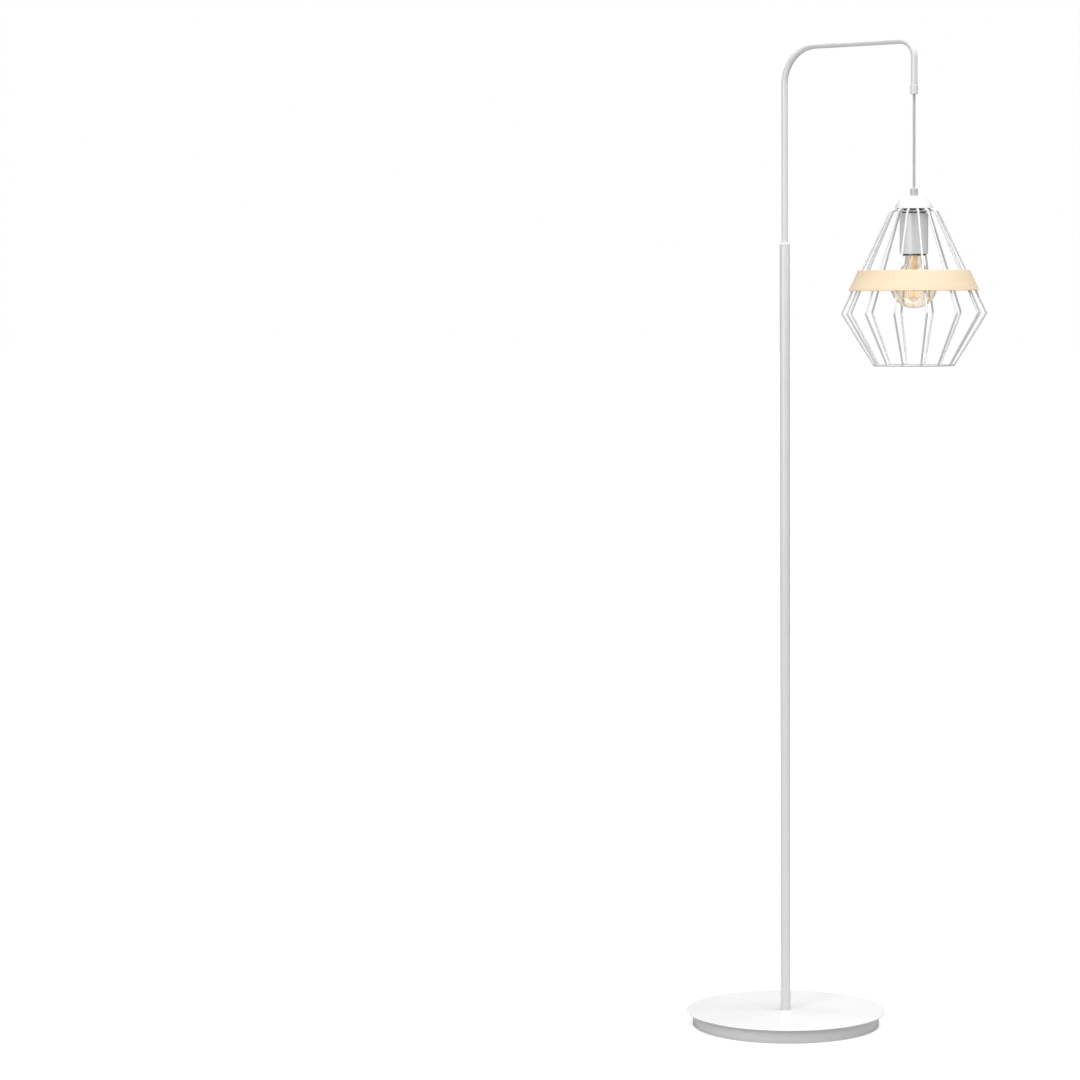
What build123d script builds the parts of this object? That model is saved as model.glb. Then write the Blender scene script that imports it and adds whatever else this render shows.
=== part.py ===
from build123d import *
import math
import os

# Wire cage floor lamp. Millimetres, +Z up. The origin is on the floor at the centre of the round base,
# which is also the axis of the pole. The bent arm reaches out along +X and the pendant hangs at its tip.

os.makedirs("parts", exist_ok=True)

# ---------------------------------------------------------------- driving dimensions
# base
PLATE_R = 180.0          # round top plate
PLATE_TOP = 26.7         # height of its upper face
PLATE_T = 2.0
SKIRT_R = 167.6          # set-back skirt under the plate
SKIRT_T = 1.5
SKIRT_FOOT = 1.0         # skirt's lower edge above the floor
SKIRT_LIP_R = 152.0      # inner edge of the skirt's welding flange
PAD_R, PAD_T = 162.0, 2.0
COVER_R, COVER_T = 165.6, 1.2
BALLAST_R = 110.0
BALLAST_FOOT = 6.7       # underside of the cast weight
BALLAST_WEB = 19.7       # underside of its middle, where the nut sits
BOSS_PCR, BOSS_R = 90.0, 7.0
SCREW_R = 2.0
INLET_Z = 12.7           # axis of the mains inlet
INLET_BORE_R = 3.3
INLET_BODY_R = 6.0
FLEX_R = 2.35            # two-core flex, 4.7 across

# pole
POLE_R, POLE_WALL = 9.0, 1.2
POLE_TOP = 1405.4
NIPPLE_R = 5.0           # M10 x 1 hollow nipple
NIPPLE_BORE_R = 3.3
BUSH_FLANGE_T = 2.1

# bent arm
ARM_R, ARM_WALL = 5.7, 1.0
ARM_FOOT = 1285.4        # lower end of the tube, inside the pole
ARM_TOP = 1754.3         # centre line of the level run
ARM_REACH = 270.5        # pole axis to cord axis
ARM_BEND_1 = 65.5
ARM_BEND_2 = 29.0
ARM_TIP = 1666.5         # end of the tube, inside the ferrule

# ferrule and cord
FERRULE_R = 6.72
FERRULE_FOOT, FERRULE_TOP = 1661.1, 1676.2
FERRULE_MOUTH_R = 3.6
CORD_FOOT = 1491.6       # lower end of the hanging cord, inside its grip

# pendant, about its own vertical axis at X = ARM_REACH
GRIP_R = 6.6
GRIP_FOOT, GRIP_TOP = 1485.7, 1498.3
DOME_R, DOME_FOOT, DOME_T = 33.2, 1463.9, 1.2
HUB_R, HUB_FOOT, HUB_T = 30.0, 1458.2, 1.8
WIRE_R = 1.8
WIRE_COUNT = 14
WIRE_PHASE = -47.6       # degrees from +X to the first wire
WIRE_TOP = 1461.82       # centre line of the level ends of the wires
WIRE_START_R = 14.0
SHOULDER_R = 39.9        # level run and cone would meet here
WIDEST_R, WIDEST_Z = 125.0, 1283.2
MOUTH_R, MOUTH_Z = 69.5, 1193.0
BEND_TOP, BEND_WIDEST = 9.0, 4.0
BAND_TOP, BAND_FOOT = 1357.7, 1321.9
BAND_R_TOP, BAND_R_FOOT = 97.0, 113.3
BAND_GAP = 0.08
SLEEVE_R, SLEEVE_T = 24.55, 1.0
SLEEVE_FOOT, SLEEVE_TOP = 1385.5, 1456.2
HOLDER_R = 20.6
HOLDER_FOOT, HOLDER_TOP = 1382.5, 1455.1
HOLDER_JOINT = 1426.0
SHELL_IN_R = 13.75       # plain bore standing for the E27 thread
CAP_R = 13.2             # E27 screw cap

# ---------------------------------------------------------------- frames and helpers
POLE_AXIS = Axis.Z
SHADE_AXIS = Axis((ARM_REACH, 0, 0), (0, 0, 1))
POLE_XZ = Plane.XZ
SHADE_XZ = Plane(origin=(ARM_REACH, 0, 0), x_dir=(1, 0, 0), z_dir=(0, -1, 0))


def ring_at(z, outer, inner, height, x=0.0):
    """Adds a flat ring or tube, standing on height z, to the part being built."""
    with BuildSketch(Plane.XY.offset(z)) as section:
        with Locations((x, 0)):
            Circle(outer)
            if inner:
                Circle(inner, mode=Mode.SUBTRACT)
    extrude(section.sketch, amount=height)


def turned(points, plane, axis):
    """Adds a solid turned about an axis from a closed outline of (radius, height) points."""
    with BuildSketch(plane) as section:
        with BuildLine():
            Polyline(*points, close=True)
        make_face()
    revolve(section.sketch, axis=axis)


# ================================================================ base
with BuildPart() as floor_pad:
    ring_at(0, PAD_R, 0, PAD_T)
    with BuildSketch(Plane.XY):
        with PolarLocations(BOSS_PCR, 4, start_angle=45):
            Circle(5.5)
    extrude(amount=PAD_T, mode=Mode.SUBTRACT)

with BuildPart() as bottom_cover:
    ring_at(PAD_T, COVER_R, 0, COVER_T)
    with BuildSketch(Plane.XY.offset(PAD_T)):
        with PolarLocations(BOSS_PCR, 4, start_angle=45):
            Circle(SCREW_R + 0.2)
    extrude(amount=COVER_T, mode=Mode.SUBTRACT)

COVER_TOP = PAD_T + COVER_T
with BuildPart() as cover_screws:
    with BuildSketch(Plane.XY.offset(0.4)):
        with PolarLocations(BOSS_PCR, 4, start_angle=45):
            Circle(3.6)
    extrude(amount=PAD_T - 0.4)
    with BuildSketch(Plane.XY.offset(PAD_T)):
        with PolarLocations(BOSS_PCR, 4, start_angle=45):
            Circle(SCREW_R)
    extrude(amount=10.0)
    with BuildSketch(Plane.XY.offset(0.4)):
        with PolarLocations(BOSS_PCR, 4, start_angle=45):
            Rectangle(4.6, 0.8)
            Rectangle(0.8, 4.6)
    extrude(amount=0.9, mode=Mode.SUBTRACT)

with BuildPart() as ballast_weight:
    ring_at(BALLAST_FOOT, BALLAST_R, 0, PLATE_TOP - PLATE_T - BALLAST_FOOT)
    chamfer(ballast_weight.edges().filter_by(GeomType.CIRCLE), length=2.0)
    with BuildSketch(Plane.XY.offset(COVER_TOP)):
        with PolarLocations(BOSS_PCR, 4, start_angle=45):
            Circle(BOSS_R)
    extrude(amount=BALLAST_FOOT - COVER_TOP + 1.0)
    # pocket for the nut, and the nipple's hole
    with BuildSketch(Plane.XY.offset(COVER_TOP)):
        Circle(24.0)
    extrude(amount=BALLAST_WEB - COVER_TOP, mode=Mode.SUBTRACT)
    with BuildSketch(Plane.XY.offset(BALLAST_WEB)):
        Circle(NIPPLE_R + 0.3)
    extrude(amount=10, mode=Mode.SUBTRACT)
    # channel for the flex, out to the back edge
    with BuildSketch(Plane.XY.offset(COVER_TOP)):
        with Locations((-BALLAST_R / 2 - 2, 0)):
            Rectangle(BALLAST_R + 4, 8)
    extrude(amount=6.0, mode=Mode.SUBTRACT)
    # screw holes
    with BuildSketch(Plane.XY.offset(COVER_TOP)):
        with PolarLocations(BOSS_PCR, 4, start_angle=45):
            Circle(SCREW_R + 0.1)
    extrude(amount=11.0, mode=Mode.SUBTRACT)

INLET_PLANE = Plane(origin=(-SKIRT_R - 3.1, 0, INLET_Z), x_dir=(0, 1, 0), z_dir=(1, 0, 0))
with BuildPart() as base_skirt:
    under = PLATE_TOP - PLATE_T
    turned(
        [
            (SKIRT_R - SKIRT_T, SKIRT_FOOT), (SKIRT_R, SKIRT_FOOT), (SKIRT_R, under),
            (SKIRT_LIP_R, under), (SKIRT_LIP_R, under - SKIRT_T), (SKIRT_R - SKIRT_T, under - SKIRT_T),
        ],
        POLE_XZ, POLE_AXIS,
    )
    with BuildSketch(INLET_PLANE):
        Circle(INLET_BODY_R + 0.1)
    extrude(amount=14, mode=Mode.SUBTRACT)

with BuildPart() as base_plate:
    ring_at(PLATE_TOP - PLATE_T, PLATE_R, NIPPLE_R + 0.3, PLATE_T)
    fillet(
        base_plate.edges().filter_by(GeomType.CIRCLE).sort_by(SortBy.RADIUS)[-2:],
        radius=0.7,
    )

with BuildPart() as inlet_gland:
    with BuildSketch(INLET_PLANE):
        Circle(8.5)
    extrude(amount=3.0)
    fillet(inlet_gland.edges().filter_by(GeomType.CIRCLE).sort_by(Axis.X)[:1], radius=1.2)
    with BuildSketch(INLET_PLANE.offset(3.0)):
        Circle(INLET_BODY_R)
    extrude(amount=9.7)
    with BuildSketch(INLET_PLANE):
        Circle(INLET_BORE_R)
    extrude(amount=12.7, mode=Mode.SUBTRACT)

with BuildPart() as inlet_gland_nut:
    with BuildSketch(INLET_PLANE.offset(5.1)):
        RegularPolygon(radius=8.4, side_count=6)
        Circle(INLET_BODY_R + 0.05, mode=Mode.SUBTRACT)
    extrude(amount=4.0)

BLOCK_X, BLOCK_L, BLOCK_W, BLOCK_H = -136.0, 20.0, 17.0, 13.0
with BuildPart() as terminal_block:
    with BuildSketch(Plane.XY.offset(COVER_TOP)):
        with Locations((BLOCK_X, 0)):
            RectangleRounded(BLOCK_L, BLOCK_W, 1.5)
    extrude(amount=BLOCK_H)
    with BuildSketch(Plane.XY.offset(COVER_TOP + BLOCK_H - 5.0)):
        with Locations((BLOCK_X, 0)):
            with GridLocations(10.0, 8.0, 2, 2):
                Circle(2.1)
    extrude(amount=5.0, mode=Mode.SUBTRACT)

with BuildPart() as terminal_screws:
    with BuildSketch(Plane.XY.offset(COVER_TOP + BLOCK_H - 5.0)):
        with Locations((BLOCK_X, 0)):
            with GridLocations(10.0, 8.0, 2, 2):
                Circle(2.0)
    extrude(amount=3.5)
    with BuildSketch(Plane.XY.offset(COVER_TOP + BLOCK_H - 2.3)):
        with Locations((BLOCK_X, 0)):
            with GridLocations(10.0, 8.0, 2, 2):
                Rectangle(0.7, 5.0)
    extrude(amount=2.0, mode=Mode.SUBTRACT)

with BuildPart() as pole_nipple:
    ring_at(12.7, NIPPLE_R, NIPPLE_BORE_R, 35.3)

with BuildPart() as nipple_washer:
    ring_at(BALLAST_WEB - 1.5, 12.0, NIPPLE_R + 0.1, 1.5)

with BuildPart() as nipple_nut:
    with BuildSketch(Plane.XY.offset(BALLAST_WEB - 6.5)):
        RegularPolygon(radius=9.2, side_count=6)
        Circle(NIPPLE_R + 0.05, mode=Mode.SUBTRACT)
    extrude(amount=5.0)

# ================================================================ pole
POLE_IN = POLE_R - POLE_WALL
with BuildPart() as pole:
    ring_at(PLATE_TOP, POLE_R, POLE_IN, POLE_TOP - PLATE_TOP)

with BuildPart() as pole_foot_insert:
    ring_at(PLATE_TOP, POLE_IN - 0.05, NIPPLE_R + 0.05, 25.0)

with BuildPart() as pole_stop_bush:
    ring_at(1263.4, POLE_IN - 0.05, 3.0, 20.0)

with BuildPart() as pole_top_bush:
    ring_at(POLE_TOP - 28.0, POLE_IN - 0.05, ARM_R + 0.07, 28.0)
    ring_at(POLE_TOP, 8.8, ARM_R + 0.07, BUSH_FLANGE_T)
    fillet(
        pole_top_bush.edges().filter_by(GeomType.CIRCLE).group_by(Axis.Z)[-1].sort_by(SortBy.RADIUS)[-1:],
        radius=1.5,
    )

FLEX_Z, FLEX_BEND = 6.0, 7.0
with BuildPart() as stand_flex:
    with BuildLine(Plane.XZ) as stand_route:
        FilletPolyline((BLOCK_X + BLOCK_L / 2, FLEX_Z), (0, FLEX_Z), (0, 1283.4), radius=FLEX_BEND)
    with BuildSketch(Plane(origin=stand_route.line @ 0, z_dir=stand_route.line % 0)):
        Circle(FLEX_R)
    sweep(path=stand_route.line)

# ================================================================ arm
ARM_POINTS = [(0, ARM_FOOT), (0, ARM_TOP), (ARM_REACH, ARM_TOP), (ARM_REACH, ARM_TIP)]
with BuildPart() as arm_tube:
    with BuildLine(Plane.XZ) as arm_route:
        FilletPolyline(*ARM_POINTS, radius=[ARM_BEND_1, ARM_BEND_2])
    with BuildSketch(Plane(origin=arm_route.line @ 0, z_dir=arm_route.line % 0)):
        Circle(ARM_R)
        Circle(ARM_R - ARM_WALL, mode=Mode.SUBTRACT)
    sweep(path=arm_route.line)

with BuildPart() as arm_guide_bush:
    turned(
        [
            (3.0, 1283.4), (POLE_IN - 0.07, 1283.4), (POLE_IN - 0.07, 1305.4),
            (ARM_R + 0.02, 1305.4), (ARM_R + 0.02, ARM_FOOT), (3.0, ARM_FOOT),
        ],
        POLE_XZ, POLE_AXIS,
    )

FLEX_END = FERRULE_FOOT + 3.6
with BuildPart() as arm_flex:
    with BuildLine(Plane.XZ) as flex_route:
        FilletPolyline(
            (0, 1283.4), (0, ARM_TOP), (ARM_REACH, ARM_TOP), (ARM_REACH, FLEX_END),
            radius=[ARM_BEND_1, ARM_BEND_2],
        )
    with BuildSketch(Plane(origin=flex_route.line @ 0, z_dir=flex_route.line % 0)):
        Circle(FLEX_R)
    sweep(path=flex_route.line)

with BuildPart() as cord_stop_sleeve:
    ring_at(ARM_TIP - 0.15, ARM_R - ARM_WALL - 0.2, FLEX_R + 0.02, 10.0, x=ARM_REACH)

with BuildPart() as tip_ferrule:
    turned(
        [
            (FERRULE_MOUTH_R + 0.6, FERRULE_FOOT), (FERRULE_R - 0.3, FERRULE_FOOT),
            (FERRULE_R, FERRULE_FOOT + 0.3), (FERRULE_R, FERRULE_TOP - 0.4),
            (FERRULE_R - 0.4, FERRULE_TOP), (ARM_R + 0.03, FERRULE_TOP), (ARM_R + 0.03, ARM_TIP - 0.2),
            (FERRULE_MOUTH_R, ARM_TIP - 0.2), (FERRULE_MOUTH_R, FERRULE_FOOT + 0.6),
        ],
        SHADE_XZ, SHADE_AXIS,
    )

# The cord flexes in the ferrule's mouth. A small domed cap over the cord's rounded top end stands for
# that short flexing length: the cord swings one way under the cap, and the cap swings the other way.
with BuildPart() as cord_root:
    inner, outer, half = FLEX_R + 0.07, 3.4, math.radians(30)
    with BuildSketch(SHADE_XZ):
        with BuildLine():
            a = (0, FERRULE_FOOT + inner)
            b = (inner * math.sin(half), FERRULE_FOOT + inner * math.cos(half))
            c = (outer * math.sin(half), FERRULE_FOOT + outer * math.cos(half))
            d = (0, FERRULE_FOOT + outer)
            ThreePointArc(a, (inner * math.sin(half / 2), FERRULE_FOOT + inner * math.cos(half / 2)), b)
            Line(b, c)
            ThreePointArc(c, (outer * math.sin(half / 2), FERRULE_FOOT + outer * math.cos(half / 2)), d)
            Line(d, a)
        make_face()
    revolve(axis=SHADE_AXIS)

with BuildPart() as pendant_cord:
    with BuildSketch(SHADE_XZ):
        with BuildLine():
            Line((0, FERRULE_FOOT + FLEX_R), (0, CORD_FOOT))
            Line((0, CORD_FOOT), (FLEX_R, CORD_FOOT))
            Line((FLEX_R, CORD_FOOT), (FLEX_R, FERRULE_FOOT))
            ThreePointArc(
                (FLEX_R, FERRULE_FOOT),
                (FLEX_R * math.sin(math.pi / 4), FERRULE_FOOT + FLEX_R * math.cos(math.pi / 4)),
                (0, FERRULE_FOOT + FLEX_R),
            )
        make_face()
    revolve(axis=SHADE_AXIS)

# ================================================================ pendant: grip, dome and hub
with BuildPart() as cord_grip:
    turned(
        [
            (NIPPLE_R + 0.05, GRIP_FOOT), (GRIP_R - 0.3, GRIP_FOOT), (GRIP_R, GRIP_FOOT + 0.3),
            (GRIP_R, GRIP_TOP - 0.5), (GRIP_R - 0.5, GRIP_TOP), (FLEX_R + 0.1, GRIP_TOP),
            (FLEX_R + 0.1, CORD_FOOT - 0.1), (NIPPLE_R + 0.05, CORD_FOOT - 0.1),
        ],
        SHADE_XZ, SHADE_AXIS,
    )
    # tapped hole for the clamping screw, on the side away from the front
    with BuildSketch(Plane(origin=(ARM_REACH, GRIP_R + 1, 1495.2), x_dir=(1, 0, 0), z_dir=(0, -1, 0))):
        Circle(1.55)
    extrude(amount=GRIP_R + 1 - FLEX_R - 0.05, mode=Mode.SUBTRACT)

with BuildPart() as grip_screw:
    with BuildSketch(Plane(origin=(ARM_REACH, GRIP_R - 0.3, 1495.2), x_dir=(1, 0, 0), z_dir=(0, -1, 0))):
        Circle(1.5)
    extrude(amount=GRIP_R - 0.3 - FLEX_R - 0.15)
    with BuildSketch(Plane(origin=(ARM_REACH, GRIP_R - 0.3, 1495.2), x_dir=(1, 0, 0), z_dir=(0, -1, 0))):
        RegularPolygon(radius=0.85, side_count=6)
    extrude(amount=1.4, mode=Mode.SUBTRACT)

with BuildPart() as shade_nipple:
    ring_at(1449.5, NIPPLE_R, 3.0, 41.8, x=ARM_REACH)

with BuildPart() as dome_cap:
    with BuildSketch(SHADE_XZ):
        with BuildLine():
            Line((NIPPLE_R + 0.3, GRIP_FOOT - DOME_T), (NIPPLE_R + 0.3, GRIP_FOOT))
            Line((NIPPLE_R + 0.3, GRIP_FOOT), (9.0, GRIP_FOOT))
            ThreePointArc((9.0, GRIP_FOOT), (25.2, 1477.4), (DOME_R, DOME_FOOT))
            Line((DOME_R, DOME_FOOT), (DOME_R - DOME_T, DOME_FOOT))
            ThreePointArc((DOME_R - DOME_T, DOME_FOOT), (24.2, 1476.4), (8.7, GRIP_FOOT - DOME_T))
            Line((8.7, GRIP_FOOT - DOME_T), (NIPPLE_R + 0.3, GRIP_FOOT - DOME_T))
        make_face()
    revolve(axis=SHADE_AXIS)

with BuildPart() as dome_locknut:
    with BuildSketch(Plane.XY.offset(GRIP_FOOT - DOME_T - 4.0)):
        with Locations((ARM_REACH, 0)):
            RegularPolygon(radius=8.0, side_count=6)
            Circle(NIPPLE_R + 0.05, mode=Mode.SUBTRACT)
    extrude(amount=4.0)

with BuildPart() as hub_disc:
    ring_at(HUB_FOOT, HUB_R, NIPPLE_R + 0.3, HUB_T, x=ARM_REACH)

with BuildPart() as hub_nut:
    with BuildSketch(Plane.XY.offset(HUB_FOOT + HUB_T)):
        with Locations((ARM_REACH, 0)):
            RegularPolygon(radius=8.0, side_count=6)
            Circle(NIPPLE_R + 0.05, mode=Mode.SUBTRACT)
    extrude(amount=4.0)

# ================================================================ pendant: cage
# One wire, in the half-plane of its own radius; its foot ends just short of the mouth ring, square on.
run_r, run_z = MOUTH_R - WIDEST_R, MOUTH_Z - WIDEST_Z
run = math.hypot(run_r, run_z)
short = (run - WIRE_R - 0.03) / run
WIRE_POINTS = [
    (WIRE_START_R, WIRE_TOP), (SHOULDER_R, WIRE_TOP), (WIDEST_R, WIDEST_Z),
    (WIDEST_R + run_r * short, WIDEST_Z + run_z * short),
]
with BuildPart() as one_wire:
    with BuildLine(Plane.XZ) as wire_route:
        FilletPolyline(*WIRE_POINTS, radius=[BEND_TOP, BEND_WIDEST])
    with BuildSketch(Plane(origin=wire_route.line @ 0, z_dir=wire_route.line % 0)):
        Circle(WIRE_R)
    sweep(path=wire_route.line)

with BuildPart() as cage_wires:
    with Locations((ARM_REACH, 0, 0)):
        with PolarLocations(0, WIRE_COUNT, start_angle=WIRE_PHASE):
            add(one_wire.part)

with BuildPart() as cage_mouth_ring:
    with BuildSketch(SHADE_XZ):
        with Locations((MOUTH_R, MOUTH_Z)):
            Circle(WIRE_R)
    revolve(axis=SHADE_AXIS)

# The tapered wooden band sits round the wires and is held by their taper.
slope = (WIDEST_R - SHOULDER_R) / (WIRE_TOP - WIDEST_Z)
clear = WIRE_R * math.hypot(1, slope) + BAND_GAP


def inside_band(z):
    return WIDEST_R - (z - WIDEST_Z) * slope + clear


with BuildPart() as wood_band:
    turned(
        [
            (inside_band(BAND_TOP), BAND_TOP), (BAND_R_TOP - 0.6, BAND_TOP), (BAND_R_TOP + 0.15, BAND_TOP - 0.9),
            (BAND_R_FOOT - 0.35, BAND_FOOT + 0.8), (BAND_R_FOOT - 0.7, BAND_FOOT), (inside_band(BAND_FOOT), BAND_FOOT),
        ],
        SHADE_XZ, SHADE_AXIS,
    )

# ================================================================ pendant: lampholder
with BuildPart() as insulating_washer:
    ring_at(SLEEVE_TOP, HOLDER_R, NIPPLE_R + 0.2, HUB_FOOT - SLEEVE_TOP, x=ARM_REACH)

with BuildPart() as lampholder_sleeve:
    turned(
        [
            (NIPPLE_R + 0.3, SLEEVE_TOP), (SLEEVE_R - 1.0, SLEEVE_TOP), (SLEEVE_R - 0.3, SLEEVE_TOP - 0.3),
            (SLEEVE_R, SLEEVE_TOP - 1.0), (SLEEVE_R, SLEEVE_FOOT), (SLEEVE_R - SLEEVE_T, SLEEVE_FOOT),
            (SLEEVE_R - SLEEVE_T, SLEEVE_TOP - 1.0), (NIPPLE_R + 0.3, SLEEVE_TOP - 1.0),
        ],
        SHADE_XZ, SHADE_AXIS,
    )

with BuildPart() as lampholder_cap:
    turned(
        [
            (NIPPLE_R + 0.05, HOLDER_TOP), (HOLDER_R, HOLDER_TOP), (HOLDER_R, HOLDER_JOINT),
            (HOLDER_R - 2.0, HOLDER_JOINT), (HOLDER_R - 2.0, HOLDER_TOP - 3.0), (9.0, HOLDER_TOP - 3.0),
            (9.0, 1446.0), (NIPPLE_R + 0.05, 1446.0),
        ],
        SHADE_XZ, SHADE_AXIS,
    )

with BuildPart() as lampholder_skirt:
    turned(
        [
            (14.7, HOLDER_FOOT + 0.8), (15.5, HOLDER_FOOT), (HOLDER_R - 0.6, HOLDER_FOOT),
            (HOLDER_R, HOLDER_FOOT + 0.6), (HOLDER_R, HOLDER_JOINT - 0.1), (HOLDER_R - 2.0, HOLDER_JOINT - 0.1),
            (HOLDER_R - 2.0, 1420.1), (14.7, 1420.1),
        ],
        SHADE_XZ, SHADE_AXIS,
    )

with BuildPart() as holder_insulator:
    ring_at(1420.1, HOLDER_R - 2.2, 0, 11.9, x=ARM_REACH)
    with BuildSketch(Plane.XY.offset(1427.0)):
        with Locations((ARM_REACH - 11, 0), (ARM_REACH + 11, 0)):
            Circle(2.3)
    extrude(amount=5.0, mode=Mode.SUBTRACT)

with BuildPart() as holder_terminal_screws:
    with BuildSketch(Plane.XY.offset(1427.0)):
        with Locations((ARM_REACH - 11, 0), (ARM_REACH + 11, 0)):
            Circle(2.2)
    extrude(amount=6.5)

with BuildPart() as holder_screw_shell:
    ring_at(1388.0, 14.5, SHELL_IN_R, 32.0, x=ARM_REACH)

with BuildPart() as holder_centre_contact:
    with BuildSketch(Plane(origin=(ARM_REACH, 3.0, 0), x_dir=(1, 0, 0), z_dir=(0, -1, 0))):
        with BuildLine():
            Polyline(
                (-10, 1420.0), (-10, 1419.3), (-4, 1419.3), (0, 1414.5), (3, 1414.5),
                (3, 1415.2), (0.35, 1415.2), (-3.6, 1420.0), close=True,
            )
        make_face()
    extrude(amount=6.0)

with BuildPart() as shade_flex:
    ring_at(1432.1, FLEX_R, 0, CORD_FOOT - 1432.2, x=ARM_REACH)

# ================================================================ bulb
with BuildPart() as bulb_contact_tip:
    turned([(0, 1412.1), (4.6, 1412.1), (4.2, 1413.4), (2.4, 1414.4), (0, 1414.4)], SHADE_XZ, SHADE_AXIS)

with BuildPart() as bulb_cap_insulator:
    turned([(0, 1408.7), (10.6, 1408.7), (5.0, 1412.0), (0, 1412.0)], SHADE_XZ, SHADE_AXIS)

CAP_FOOT, CAP_TOP, RIDGES, PITCH = 1384.4, 1408.6, 5, 3.629
with BuildPart() as bulb_screw_cap:
    outline = [(11.75, CAP_FOOT), (CAP_R, CAP_FOOT), (CAP_R, CAP_FOOT + 2.2)]
    for i in range(RIDGES):
        z = CAP_FOOT + 3.0 + i * PITCH
        outline += [(CAP_R - 0.85, z), (CAP_R - 0.85, z + 0.6), (CAP_R, z + 1.5), (CAP_R, z + 2.3)]
    outline += [(CAP_R - 0.85, CAP_TOP - 2.2), (10.8, CAP_TOP), (10.0, CAP_TOP), (11.75, CAP_TOP - 2.6)]
    turned(outline, SHADE_XZ, SHADE_AXIS)

GLASS_T = 0.9
GLASS_OUT = [
    (0, 1291.8), (22.4, 1297.6), (33.8, 1309.1), (39.4, 1321.0), (40.2, 1329.0), (38.6, 1340.0),
    (33.4, 1350.2), (25.9, 1358.2), (20.4, 1363.4), (15.8, 1368.4), (13.2, 1373.2), (12.5, 1378.5), (12.5, 1383.2),
]
GLASS_IN = [
    (0, 1292.7), (21.9, 1298.4), (33.1, 1309.6), (38.5, 1321.2), (39.3, 1329.0), (37.7, 1339.7),
    (32.7, 1349.6), (25.3, 1357.5), (19.8, 1362.7), (15.1, 1367.8), (12.35, 1372.8), (11.6, 1378.3), (11.6, 1383.2),
]
with BuildPart() as bulb_glass:
    with BuildSketch(SHADE_XZ):
        with BuildLine():
            Spline(*GLASS_OUT, tangents=((1, 0), (0, 1)))
            Polyline(
                GLASS_OUT[-1], (11.5, 1384.3), (11.5, 1391.0), (10.7, 1391.0), (10.7, 1384.0), GLASS_IN[-1],
            )
            Spline(*GLASS_IN, tangents=((1, 0), (0, 1)))
            Line(GLASS_IN[0], GLASS_OUT[0])
        make_face()
    revolve(axis=SHADE_AXIS)

FIL_R, FIL_TOP, FIL_FOOT, HOOKS = 11.2, 1351.0, 1311.0, 6
with BuildPart() as bulb_stem:
    turned(
        [
            (0, 1309.4), (1.6, 1309.8), (2.1, 1311.0), (1.6, 1312.2), (1.3, 1313.0), (1.3, 1343.0), (3.4, 1346.0),
            (5.5, 1350.5), (5.6, 1377.0), (7.6, 1382.5), (10.5, 1388.0), (10.5, 1389.2), (6.6, 1384.4), (4.7, 1379.0),
            (4.5, 1352.0), (0, 1350.0),
        ],
        SHADE_XZ, SHADE_AXIS,
    )

with BuildPart() as filament_hooks:
    # lower hooks out of the stem's button, upper hooks out of its shoulder
    with Locations((ARM_REACH, 0, 0)):
        with PolarLocations(0, HOOKS, start_angle=15):
            with Locations(Location((2.2, 0, FIL_FOOT), (0, 90, 0))):
                Cylinder(0.3, FIL_R - 2.7, align=(Align.CENTER, Align.CENTER, Align.MIN))
        with PolarLocations(0, HOOKS, start_angle=45):
            with Locations(Location((5.7, 0, FIL_TOP), (0, 90, 0))):
                Cylinder(0.3, FIL_R - 6.2, align=(Align.CENTER, Align.CENTER, Align.MIN))

with BuildPart() as bulb_filament:
    # carbon-style filament, strung up and down round the stem
    with Locations((ARM_REACH, 0, 0)):
        with PolarLocations(FIL_R, 2 * HOOKS, start_angle=0):
            with Locations((0, 0, FIL_FOOT)):
                Cylinder(0.35, FIL_TOP - FIL_FOOT, align=(Align.CENTER, Align.CENTER, Align.MIN))

# ================================================================ names and files
PIECES = {
    "floor_pad": floor_pad, "bottom_cover": bottom_cover, "cover_screws": cover_screws,
    "ballast_weight": ballast_weight, "base_skirt": base_skirt, "base_plate": base_plate,
    "inlet_gland": inlet_gland, "inlet_gland_nut": inlet_gland_nut, "terminal_block": terminal_block,
    "terminal_screws": terminal_screws, "pole_nipple": pole_nipple, "nipple_washer": nipple_washer,
    "nipple_nut": nipple_nut, "pole": pole, "pole_foot_insert": pole_foot_insert,
    "pole_stop_bush": pole_stop_bush, "pole_top_bush": pole_top_bush, "stand_flex": stand_flex,
    "arm_tube": arm_tube, "arm_guide_bush": arm_guide_bush, "arm_flex": arm_flex,
    "cord_stop_sleeve": cord_stop_sleeve, "tip_ferrule": tip_ferrule, "cord_root": cord_root,
    "pendant_cord": pendant_cord, "cord_grip": cord_grip, "grip_screw": grip_screw,
    "shade_nipple": shade_nipple, "shade_flex": shade_flex, "dome_cap": dome_cap,
    "dome_locknut": dome_locknut, "hub_disc": hub_disc, "hub_nut": hub_nut, "cage_wires": cage_wires,
    "cage_mouth_ring": cage_mouth_ring, "wood_band": wood_band, "insulating_washer": insulating_washer,
    "lampholder_sleeve": lampholder_sleeve, "lampholder_cap": lampholder_cap,
    "lampholder_skirt": lampholder_skirt, "holder_insulator": holder_insulator,
    "holder_terminal_screws": holder_terminal_screws, "holder_screw_shell": holder_screw_shell,
    "holder_centre_contact": holder_centre_contact, "bulb_contact_tip": bulb_contact_tip,
    "bulb_cap_insulator": bulb_cap_insulator, "bulb_screw_cap": bulb_screw_cap, "bulb_glass": bulb_glass,
    "bulb_stem": bulb_stem, "filament_hooks": filament_hooks, "bulb_filament": bulb_filament,
}
for name, piece in PIECES.items():
    piece.part.label = name
    export_step(piece.part, f"parts/{name}.step")

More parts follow.
